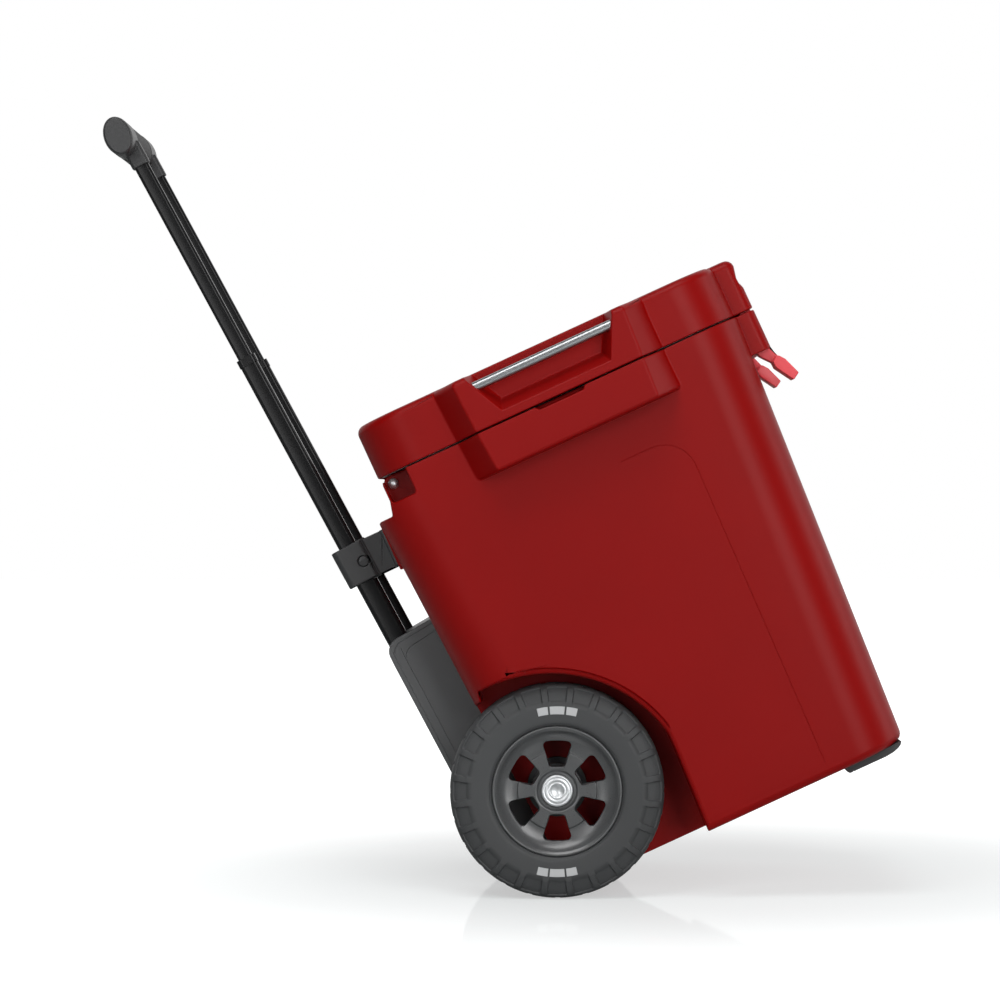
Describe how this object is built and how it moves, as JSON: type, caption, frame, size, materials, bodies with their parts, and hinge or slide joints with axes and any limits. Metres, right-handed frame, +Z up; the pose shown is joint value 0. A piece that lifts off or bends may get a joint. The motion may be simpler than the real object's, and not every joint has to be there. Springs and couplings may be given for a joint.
{
  "type": "cooler on wheels",
  "caption": "Insulated hard cooler on two wheels with a hinged lid, pull latches, steel carry bars and a telescoping pull handle.",
  "frame": {"origin": "on the ground under the middle of the whole object, with the handle pulled out", "axes": "+X towards the latch side, +Y to the left side, +Z up; the pictured side is -Y"},
  "size_m": [0.5138, 0.504, 0.8688],
  "materials": {
    "red_shell": "satin moulded polypropylene, fine texture",
    "liner": "smooth pale grey moulded plastic",
    "foam": "poured polyurethane foam",
    "black_rubber": "soft black rubber",
    "red_rubber": "bright red moulded rubber",
    "grip_rubber": "matt overmoulded rubber",
    "steel": "brushed stainless steel",
    "dark_steel": "black oxide steel",
    "tyre": "dark grey moulded tyre",
    "grey_plastic": "dark grey moulded nylon, fine texture",
    "dark_plastic": "near-black moulded nylon",
    "nylon": "natural nylon",
    "black_tube": "gloss black anodised tube",
    "seal": "grey silicone"
  },
  "bodies": {
    "body": {"body_shell": "red_shell", "body_liner": "liner", "body_foam": "foam", "hinge_pin": "steel", "axle": "steel", "axle_boss_right": "dark_plastic", "axle_boss_left": "dark_plastic", "axle_washers": "steel", "axle_cap_right": "steel", "axle_cap_left": "steel", "handle_housing": "grey_plastic", "housing_cover": "grey_plastic", "housing_screws": "dark_steel", "tube_base_plugs": "dark_plastic", "outer_tube_right": "black_tube", "outer_tube_left": "black_tube", "clamp_bracket": "dark_plastic", "clamp_screws": "dark_steel", "bracket_bolts": "dark_steel", "foot_right": "black_rubber", "foot_left": "black_rubber", "foot_screws": "steel"},
    "lid": {"lid_shell": "red_shell", "lid_pan": "liner", "lid_foam": "foam", "lid_gasket": "black_rubber", "carry_bar_right": "steel", "carry_bar_left": "steel", "latch_pins": "steel"},
    "pull_latch_right": {"latch_right": "red_rubber"},
    "pull_latch_left": {"latch_left": "red_rubber"},
    "wheel_right": {"tyre_right": "tyre", "rim_right": "grey_plastic", "wheel_bush_right": "nylon"},
    "wheel_left": {"tyre_left": "tyre", "rim_left": "grey_plastic", "wheel_bush_left": "nylon"},
    "middle_stage": {"middle_tube_right": "black_tube", "middle_tube_left": "black_tube", "middle_collars": "dark_plastic"},
    "top_stage": {"inner_tube_right": "black_tube", "inner_tube_left": "black_tube", "grip_core": "dark_plastic", "grip_sleeve": "grip_rubber", "grip_cap_right": "grey_plastic", "grip_cap_left": "grey_plastic", "button_spring": "steel"},
    "release": {"release_button": "grey_plastic", "release_bar": "nylon", "push_rods": "steel"},
    "drain": {"drain_plug": "dark_plastic", "drain_seal": "seal"}
  },
  "joints": [
    {"name": "lid_hinge", "type": "hinge", "parent": "body", "child": "lid", "pos_m": [-0.13815, 0, 0.4304], "axis": [0, -1, 0], "range_deg": [0, 90]},
    {"name": "latch_right_swing", "type": "hinge", "parent": "lid", "child": "pull_latch_right", "pos_m": [0.23295, -0.142, 0.466], "axis": [0, -1, 0], "range_deg": [0, 100]},
    {"name": "latch_left_swing", "type": "hinge", "parent": "lid", "child": "pull_latch_left", "pos_m": [0.23295, 0.142, 0.466], "axis": [0, -1, 0], "range_deg": [0, 100]},
    {"name": "wheel_right_spin", "type": "hinge", "parent": "body", "child": "wheel_right", "pos_m": [-0.11855, -0.176, 0.1016], "axis": [0, 1, 0], "continuous": true},
    {"name": "wheel_left_spin", "type": "hinge", "parent": "body", "child": "wheel_left", "pos_m": [-0.11855, 0.176, 0.1016], "axis": [0, 1, 0], "continuous": true},
    {"name": "middle_stage_slide", "type": "slide", "parent": "body", "child": "middle_stage", "axis": [-0.0654, 0, 0.9979], "range_m": [-0.194, 0]},
    {"name": "top_stage_slide", "type": "slide", "parent": "middle_stage", "child": "top_stage", "axis": [-0.0654, 0, 0.9979], "range_m": [-0.194, 0]},
    {"name": "release_press", "type": "slide", "parent": "top_stage", "child": "release", "axis": [0.0654, 0, -0.9979], "range_m": [0, 0.004], "stiffness_N_per_m": 900, "springref_m": -0.0035, "deforming": ["button_spring"]},
    {"name": "drain_turn", "type": "hinge", "parent": "body", "child": "drain", "pos_m": [0.19945, 0, 0.052], "axis": [1, 0, 0], "range_deg": [0, 270]}
  ]
}
